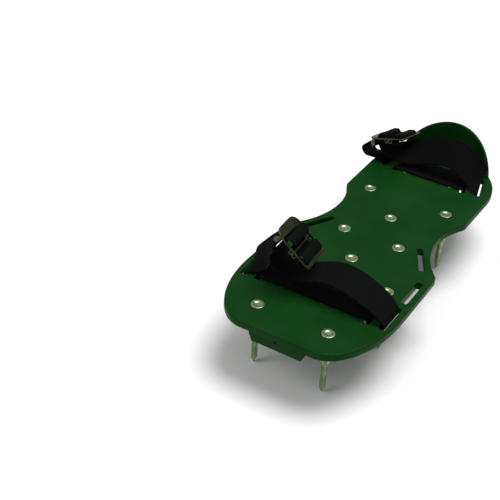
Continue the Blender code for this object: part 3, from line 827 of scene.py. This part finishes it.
def nut_mesh(mat):
    """Hexagon nut whose corners are chamfered at both ends, with its top at the origin."""
    flats = polygon(NUT_FLAT_R, 6)
    mouth = circle(NUT_BORE_R + NUT_BORE_CHAMFER)
    bore = circle(NUT_BORE_R)
    rings = [turned_ring(NUT_SIDES, 0.0, mouth)]
    for depth in NUT_CORNER_DEPTHS + tuple(NUT_H - d for d in reversed(NUT_CORNER_DEPTHS)):
        corner = NUT_CORNER_R + NUT_CORNER_SLOPE * min(depth, NUT_H - depth)
        rings.append(turned_ring(NUT_SIDES, -depth, capped(flats, corner)))
    rings.append(turned_ring(NUT_SIDES, -NUT_H, mouth))
    rings.append(turned_ring(NUT_SIDES, -NUT_H + NUT_BORE_CHAMFER, bore))
    rings.append(turned_ring(NUT_SIDES, -NUT_BORE_CHAMFER, bore))
    bm = bmesh.new()
    skin(bm, rings, closed_loop=True)
    return to_mesh("nut", bm, mat)


def washer_mesh(mat):
    """Lock washer with teeth, each with one end bent down a little, with its top at the origin."""
    root = WASHER_R - TOOTH
    section = [(WASHER_BORE_R, -WASHER_THINNING), (root, -WASHER_THINNING), (WASHER_R, 0.0)]
    section += [(WASHER_R, -WASHER_T + 2 * WASHER_THINNING), (root, -WASHER_T + WASHER_THINNING)]
    section += [(WASHER_BORE_R, -WASHER_T + WASHER_THINNING)]
    sides = TEETH * TOOTH_STEPS
    rings = []
    for radius, z in section:
        ring = []
        for i in range(sides):
            spot = i % TOOTH_STEPS
            r = min(radius, root) if spot > TOOTH_LAST else radius
            bend = 0.0 if r < WASHER_R else -TOOTH_BEND * spot
            t = 2 * math.pi * i / sides
            ring.append((r * math.cos(t), r * math.sin(t), z + bend))
        rings.append(ring)
    bm = bmesh.new()
    skin(bm, rings, closed_loop=True)
    return to_mesh("washer", bm, mat)


def make_fasteners(mat):
    """A spike, a nut and a washer at each spike of the frame."""
    nut_z = FOOTBED - PLATE_T - GAP
    kinds = (
        ("spike", spike_mesh(mat), FOOTBED),
        ("nut", nut_mesh(mat), nut_z),
        ("washer", washer_mesh(mat), nut_z - NUT_H - GAP),
    )
    for label, x, y in spike_spots():
        for kind, mesh, z in kinds:
            obj = to_object(f"steel_{kind}_{label}", mesh)
            obj.location = Vector((x, y, z)) * MM
            tie(obj, "sandal", "zinc_steel", f"{kind}_{label}")


# ---------------------------------------------------------------- webbing


def bend_angle(a, b, c):
    """Degrees by which a route turns at b."""
    one = Vector((b[0] - a[0], b[1] - a[1]))
    two = Vector((c[0] - b[0], c[1] - b[1]))
    return math.degrees(one.angle(two))


def route(stops):
    """Rounds the corners of a route whose stops are (x, z, trim, y, skew, tilt).

    Returns rows of (x, z, y, skew, tilt).
    """
    points = [Vector(stops[0][:2] + stops[0][3:])]
    for i in range(1, len(stops) - 1):
        rows = [Vector(stop[:2] + stop[3:]) for stop in stops[i - 1 : i + 2]]
        trim = stops[i][2]
        steps = max(3, round(bend_angle(*stops[i - 1 : i + 2]) / 5))
        start = rows[1].lerp(rows[0], min(trim / (rows[0].xy - rows[1].xy).length, 0.48))
        end = rows[1].lerp(rows[2], min(trim / (rows[2].xy - rows[1].xy).length, 0.48))
        for j in range(steps + 1):
            t = j / steps
            points.append(start * (1 - t) ** 2 + rows[1] * (2 * t * (1 - t)) + end * t * t)
    points.append(Vector(stops[-1][:2] + stops[-1][3:]))
    return points


def even_steps(points, step):
    """Spaces the rows of a route evenly along its length."""
    lengths = [0.0]
    for a, b in zip(points, points[1:]):
        lengths.append(lengths[-1] + (b.xyz - a.xyz).length)
    count = round(lengths[-1] / step)
    rows = []
    at = 0
    for i in range(count + 1):
        goal = lengths[-1] * i / count
        while at < len(points) - 2 and lengths[at + 1] < goal:
            at += 1
        span = max(lengths[at + 1] - lengths[at], 1e-9)
        rows.append(points[at].lerp(points[at + 1], min(1.0, (goal - lengths[at]) / span)))
    return rows


def webbing_rings(rows):
    """Sections of the strap: skew turns it in plan, and tilt lifts its heel edge."""
    half = WEB_W / 2
    edges = []
    for x, z, y, skew, tilt in rows:
        middle = Vector((x, y, z + FOOTBED))
        across = Vector((skew, 1.0, -tilt / half)).normalized()
        edges.append((middle, across))
    rings = []
    for i, (middle, across) in enumerate(edges):
        along = edges[min(i + 1, len(edges) - 1)][0] - edges[max(i - 1, 0)][0]
        normal = along.cross(across).normalized()
        rib = RIB_DEPTH * math.cos(2 * math.pi * i * RING_STEP / RIB_PITCH)
        thick = WEB_T / 2 + rib - RIB_DEPTH
        ring = [middle + across * (half * v) + normal * (thick * h) for v, h in WEB_SECTION]
        rings.append(ring)
    return rings


def webbing_piece(name, rings, first, mat):
    """A closed strap from its sections, with its length and width in mm laid out as the UV map weave."""
    bm = bmesh.new()
    skin(bm, rings)
    mesh = to_mesh(name, bm, mat)
    layer = mesh.uv_layers.new(name="weave")
    for loop in mesh.loops:
        ring, spot = divmod(loop.vertex_index, len(WEB_SECTION))
        along = (first + ring) * RING_STEP
        layer.data[loop.index].uv = (along, WEB_SECTION[spot][0] * WEB_W / 2)
    return to_object(name, mesh)


def loop_stops(anchor, leg, length, skew, tilt):
    """Sewn eye round a buckle's bar: up the inner leg, round the bar and onto the outer leg.

    leg is the direction in which the doubled strap leaves the bar.
    """
    away = Vector(leg).normalized()
    side = Vector((-away.y, away.x))
    centre = Vector((anchor[0], anchor[2]))
    spots = [centre + away * length - side * (LOOP_R - EYE_END_PINCH)]
    spots.append(centre + away * EYE_CLOSED - side * (LOOP_R - EYE_PINCH))
    spots.append(centre + away * EYE_STRAIGHT - side * LOOP_R)
    for degrees in (18, 54, 90, 126, 162):
        t = math.radians(degrees)
        spots.append(centre - side * LOOP_R * math.cos(t) - away * LOOP_R * math.sin(t))
    spots.append(centre + away * EYE_STRAIGHT + side * LOOP_R)
    return [(spot.x, spot.y, 0.8, anchor[1], skew, tilt) for spot in spots]


def slot_stops(side, outer, inner, y_out, y_in, skew):
    """Stops that take a strap down its outer slot, under the bar and up its inner slot."""
    skew = side * skew
    return [
        (side * outer, -1.4, 1.2, y_out, skew, 0.0),
        (side * outer, UNDER_BAR_Z, 1.6, y_out, skew, 0.0),
        (side * inner, UNDER_BAR_Z, 1.6, y_in, skew, 0.0),
        (side * inner, WEB_Z, 1.6, y_in, skew, 0.0),
    ]


def buckle_matrix(anchor, turn):
    """Places the buckle frame's own axes, in millimetres: its hinge bar is the origin."""
    euler = Euler([math.radians(angle) for angle in turn])
    return Matrix.Translation(anchor) @ euler.to_matrix().to_4x4()


def tail_stops(anchor, turn):
    """The strap's far end in its buckle: up through the window, under the pin and over the end bar."""
    matrix = buckle_matrix(anchor, turn)
    across = matrix.to_3x3() @ Vector((0, 1, 0))
    skew = across.x / across.y
    tilt = -across.z / across.y * WEB_W / 2
    wall = PIN_TRAVEL + PIN_R + GAP + WEB_T / 2 + PIN_PLAY
    first = -(ANCHOR_R + WEB_T + 2 * GAP + WEB_T / 2) - TAIL_PLAY
    last = WINDOW_X[0] + GAP + WEB_T / 2 + TAIL_PLAY
    spots = [
        (first, TAIL_START, 1.5),
        (first, HUMP_HIGH, 3.3),
        (PIN_X + wall, HUMP_HIGH, 3.3),
        (PIN_X + wall, TAIL_LOW, 1.2),
        (PIN_X - wall, TAIL_LOW, 1.2),
        (PIN_X - wall, HUMP_LOW, 3.2),
        (last, HUMP_LOW, 3.2),
        (last, TAIL_END, 1.0),
    ]
    stops = []
    for x, z, trim in spots:
        spot = matrix @ Vector((x, 0.0, z))
        stops.append((spot.x, spot.z, trim, spot.y, skew, tilt))
    return stops


def front_stops():
    """From the sewn eye down to the sole, across it, back over the foot and into the buckle."""
    outer, y = FRONT_SLOT
    inner = outer - SLOT_PITCH
    stops = loop_stops(FRONT_ANCHOR, (0.33, -0.944), 10.0, -0.086, -0.5)
    stops += [
        (37.0, 25.2, 3.5, y, -0.3, 3.4),
        (40.6, 17.8, 4.0, y, -0.55, 6.6),
        (44.6, 11.4, 4.0, y, -0.7, 7.6),
        (49.6, 6.9, 4.0, y, -0.6, 5.0),
        (53.6, 3.6, 2.5, y, -0.45, 2.4),
        (54.6, 1.6, 0.8, y, -0.2, 0.4),
    ]
    stops += slot_stops(1, outer, inner, y, y, 0.0)
    stops += [(20.0, WEB_Z, 5.0, y, 0.0, 0.0), (-20.0, WEB_Z, 5.0, y, 0.0, 0.0)]
    stops += list(reversed(slot_stops(-1, outer, inner, y, y, 0.0)))
    stops += [
        (-54.6, 2.0, 2.0, y, 0.0, 0.0),
        (-49.0, 7.9, 4.0, y, 0.0, 1.2),
        (-40.0, 12.4, 5.0, y, 0.0, 2.0),
        (-28.0, 17.3, 6.0, y, 0.0, 2.2),
        (-13.0, 19.7, 7.0, y, 0.0, 2.0),
        (-2.0, 17.2, 5.0, y, 0.0, 1.5),
        (9.0, 11.6, 5.0, y, 0.0, 1.5),
        (*FRONT_SPLIT, 6.0, y, 0.0, 0.5),
        (37.0, 17.2, 8.0, y, 0.0, 0.0),
    ]
    return stops + tail_stops(FRONT_ANCHOR, FRONT_TURN)


def rear_stops():
    """The same round the heel, where the slots are turned."""
    outer, y_out = REAR_SLOT
    inner, y_in = inward(REAR_SLOT, REAR_SLOT_ANGLE, SLOT_PITCH)
    skew = math.tan(math.radians(REAR_SLOT_ANGLE))
    stops = loop_stops(REAR_ANCHOR, (0.84, -0.54), 6.5, 0.1, -2.3)
    stops += [
        (64.0, 4.6, 4.0, y_out - 1.0, 0.0, -3.6),
        (59.0, -1.4, 3.5, y_out - 0.5, 0.05, -3.8),
        (50.0, 1.9, 3.0, y_out, 0.15, -1.0),
        (41.5, 3.0, 3.0, y_out, 0.2, 0.0),
    ]
    stops += slot_stops(1, outer, inner, y_out, y_in, skew)
    stops += [(14.0, WEB_Z, 5.0, y_in, 0.0, 0.0), (-14.0, WEB_Z, 5.0, y_in, 0.0, 0.0)]
    stops += list(reversed(slot_stops(-1, outer, inner, y_out, y_in, skew)))
    stops += [
        (-38.6, 0.8, 0.8, y_out, -skew, 0.0),
        (-39.0, 3.9, 2.0, y_out, 0.1, 2.0),
        (-36.8, 7.8, 3.5, y_out, 0.4, 5.4),
        (-31.6, 13.6, 5.0, y_out, 0.4, 9.0),
        (-22.5, 19.6, 6.0, y_out, 0.3, 12.5),
        (-11.5, 23.4, 7.0, y_out, 0.1, 15.0),
        (1.0, 20.2, 7.0, y_out, 0.0, 14.0),
        (14.0, 15.2, 7.0, y_out, 0.0, 11.0),
        (25.0, 11.8, 5.0, y_out, 0.0, 7.4),
        (33.5, 9.7, 3.5, y_out, 0.0, 3.0),
        (*REAR_SPLIT, 3.0, y_out - 0.5, 0.0, 0.8),
        (44.2, 9.2, 1.8, y_out - 0.9, 0.1, -1.5),
    ]
    return stops + tail_stops(REAR_ANCHOR, REAR_TURN)


def make_strap(label, stops, split, mat):
    """The strap in two pieces: one rides the sandal, and its end is a second piece left in place, tied
    to no body.
    """
    rows = even_steps(route(stops), RING_STEP)
    rings = webbing_rings(rows)
    later = range(len(rows) // 2, len(rows))
    cut = min(later, key=lambda i: (rows[i].xy - Vector(split)).length)
    held = webbing_piece(f"{label}_webbing", rings[: cut + 1], 0, mat)
    tie(held, "sandal", "black_webbing", f"{label}_strap")
    end = webbing_piece(f"{label}_webbing_end", rings[cut:], cut, mat)
    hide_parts(f"{label}_strap_tail")
    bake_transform(end)


# ---------------------------------------------------------------- buckles


def plan_ring(x0, x1, half, r0, r1):
    """Rounded rectangle from x0 (corners r0) to x1 (corners r1)."""
    ring = []
    corners = ((x1, 1, r1, 0), (x0, 1, r0, 90), (x0, -1, r0, 180), (x1, -1, r1, 270))
    for sx, sy, radius, first in corners:
        for i in range(13):
            t = math.radians(first + 7.5 * i)
            cx = sx - radius if sx == x1 else sx + radius
            cy = sy * (half - radius)
            ring.append(Vector((cx + radius * math.cos(t), cy + radius * math.sin(t))))
    return ring


def frame_ring(name):
    """The flat ring as one closed sweep of outer and inner outlines with rounded edges."""
    outer = plan_ring(-FRAME_REACH, FRAME_NOSE, FRAME_HALF, FRAME_BACK_R, NOSE_R)
    inner = plan_ring(*WINDOW_X, WINDOW_HALF, WINDOW_R, WINDOW_R)
    top = FRAME_Z + FRAME_T
    rings = []
    for outline, way in ((outer, -1), (inner, 1)):
        levels = [(inset, top - drop) for inset, drop in fillet(FRAME_FILLET)]
        levels += [(inset, FRAME_Z + drop) for inset, drop in reversed(fillet(FRAME_FILLET))]
        if way == 1:
            levels.reverse()
        for inset, z in levels:
            rings.append([(p.x, p.y, z) for p in offset(outline, way * inset)])
    bm = bmesh.new()
    skin(bm, rings, closed_loop=True)
    return to_object(name, to_mesh(name, bm))


def ear_profiles():
    """A round ear that holds the hinge bar, and one for the pin's slot, as (x, z) outlines."""
    wall = ANCHOR_R + EAR_WALL
    bar = [(-wall, EAR_TOP)]
    for i in range(13):
        t = math.radians(180 + 15 * i)
        bar.append((wall * math.cos(t), wall * math.sin(t)))
    bar += [(wall, EAR_SHOULDER), (0.0, EAR_TOP)]
    half = PIN_TRAVEL + PIN_R + GAP + PIN_EAR_WALL
    low = PIN_Z - PIN_R - GAP - EAR_WALL
    pin = [(PIN_X - half, EAR_TOP), (PIN_X - half + PIN_EAR_TAPER, low)]
    pin += [(PIN_X + half - PIN_EAR_TAPER, low), (PIN_X + half, EAR_TOP)]
    return bar, pin


def frame_joins():
    """The two pairs of ears and the hinge bar."""
    bm = bmesh.new()
    for side in (-1, 1):
        ends = [side * y for y in EAR_Y]
        for outline in ear_profiles():
            skin(bm, [[(x, y, z) for x, z in outline] for y in ends])
    ears = to_object("ears", to_mesh("ears", bm))
    bm = bmesh.new()
    add_cylinder(bm, (0, 0, 0), ANCHOR_R, ANCHOR_L, ALONG_Y, 32)
    return ears, to_object("bar", to_mesh("bar", bm))


def pin_slots():
    """Cutter for the slots in the ears, as long as the pin's travel."""
    bm = bmesh.new()
    size = (2 * (PIN_TRAVEL + PIN_R + GAP), 3.0, 2 * (PIN_R + GAP))
    for side in (-1, 1):
        spot = Vector((PIN_X, side * sum(EAR_Y) / 2, PIN_Z))
        matrix = Matrix.Translation(spot * MM) @ Matrix.Diagonal((*(Vector(size) * MM), 1.0))
        bmesh.ops.create_cube(bm, size=1.0, matrix=matrix)
    return to_object("pin_slots", to_mesh("pin_slots", bm))


def set_in_place(obj, anchor, turn, mat):
    """Moves a buckle piece's mesh from the frame's own axes to its place, and gives it its material."""
    x, y, z = anchor
    matrix = buckle_matrix((x, y, z + FOOTBED), turn)
    matrix.translation *= MM
    obj.data.transform(matrix)
    obj.data.materials.clear()
    obj.data.materials.append(mat)


def make_frame(label, anchor, turn, mat):
    """One buckle's frame, with its ears and its hinge bar."""
    ring = frame_ring(f"{label}_bronzed_frame")
    ears, bar = frame_joins()
    cut_or_join(ring, [("UNION", ears), ("DIFFERENCE", pin_slots()), ("UNION", bar)])
    set_in_place(ring, anchor, turn, mat)
    tie(ring, f"{label}_buckle", "bronzed_steel", f"{label}_buckle_frame")


def make_pin(label, anchor, turn, mat):
    """Round locking bar, riveted over outside each flange."""
    spots = [(radius, -PIN_REACH + inset) for radius, inset in RIVET_PROFILE]
    spots += [(PIN_HEAD_R, -PIN_SHOULDER), (PIN_R, -PIN_SHOULDER)]
    spots += [(radius, -y) for radius, y in reversed(spots)]
    rings = []
    for radius, y in spots:
        ring = []
        for i in range(PIN_SIDES):
            t = 2 * math.pi * i / PIN_SIDES
            ring.append((PIN_X + radius * math.cos(t), y, PIN_Z + radius * math.sin(t)))
        rings.append(ring)
    bm = bmesh.new()
    skin(bm, rings)
    pin = to_object(f"{label}_bronzed_pin", to_mesh("pin", bm))
    set_in_place(pin, anchor, turn, mat)
    tie(pin, f"{label}_pin", "bronzed_steel", f"{label}_locking_pin")


# ---------------------------------------------------------------- studio


def add_area_light(name, spot, size, power):
    """A round area light that faces the origin."""
    data = bpy.data.lights.new(name, "AREA")
    data.shape = "DISK"
    data.size = size
    data.energy = power
    light = to_object(name, data)
    light.location = spot
    light.rotation_euler = (-Vector(spot)).to_track_quat("-Z", "Y").to_euler()


def add_camera():
    """Looks down at the toe from ahead and to the wearer's left."""
    data = bpy.data.cameras.new("camera")
    data.sensor_width = SENSOR_WIDTH
    data.lens = LENS
    data.clip_start = 0.01
    camera = to_object("camera", data)
    axes = Matrix((CAMERA_RIGHT, CAMERA_UP, CAMERA_BACK)).transposed()
    camera.matrix_world = Matrix.LocRotScale(Vector(CAMERA_AT), axes.to_quaternion(), None)
    bpy.context.scene.camera = camera


def add_studio():
    """Pale floor, white surroundings, a broad key light from overhead and a weak fill."""
    bm = bmesh.new()
    bmesh.ops.create_grid(bm, x_segments=1, y_segments=1, size=4.0)
    floor = to_object("floor", to_mesh("floor", bm, floor_material()))
    world = bpy.data.worlds.new("studio")
    world.use_nodes = True
    background = world.node_tree.nodes["Background"]
    background.inputs["Color"].default_value = (1.0, 1.0, 1.0, 1.0)
    background.inputs["Strength"].default_value = 0.42
    bpy.context.scene.world = world
    bpy.context.scene.view_settings.view_transform = "Standard"
    add_area_light("key", (-0.5, -0.55, 2.8), 2.0, 85.0)
    add_area_light("fill", (1.2, 1.4, 1.6), 1.2, 12.0)


def main():
    add_camera()
    add_studio()
    make_plate(plastic_material())
    make_fasteners(zinc_material())
    nylon = nylon_material()
    make_strap("front", front_stops(), FRONT_SPLIT, nylon)
    make_strap("rear", rear_stops(), REAR_SPLIT, nylon)
    bronze = bronze_material()
    buckles = (("front", FRONT_ANCHOR, FRONT_TURN), ("rear", REAR_ANCHOR, REAR_TURN))
    for label, anchor, turn in buckles:
        make_frame(label, anchor, turn, bronze)
        make_pin(label, anchor, turn, bronze)


main()
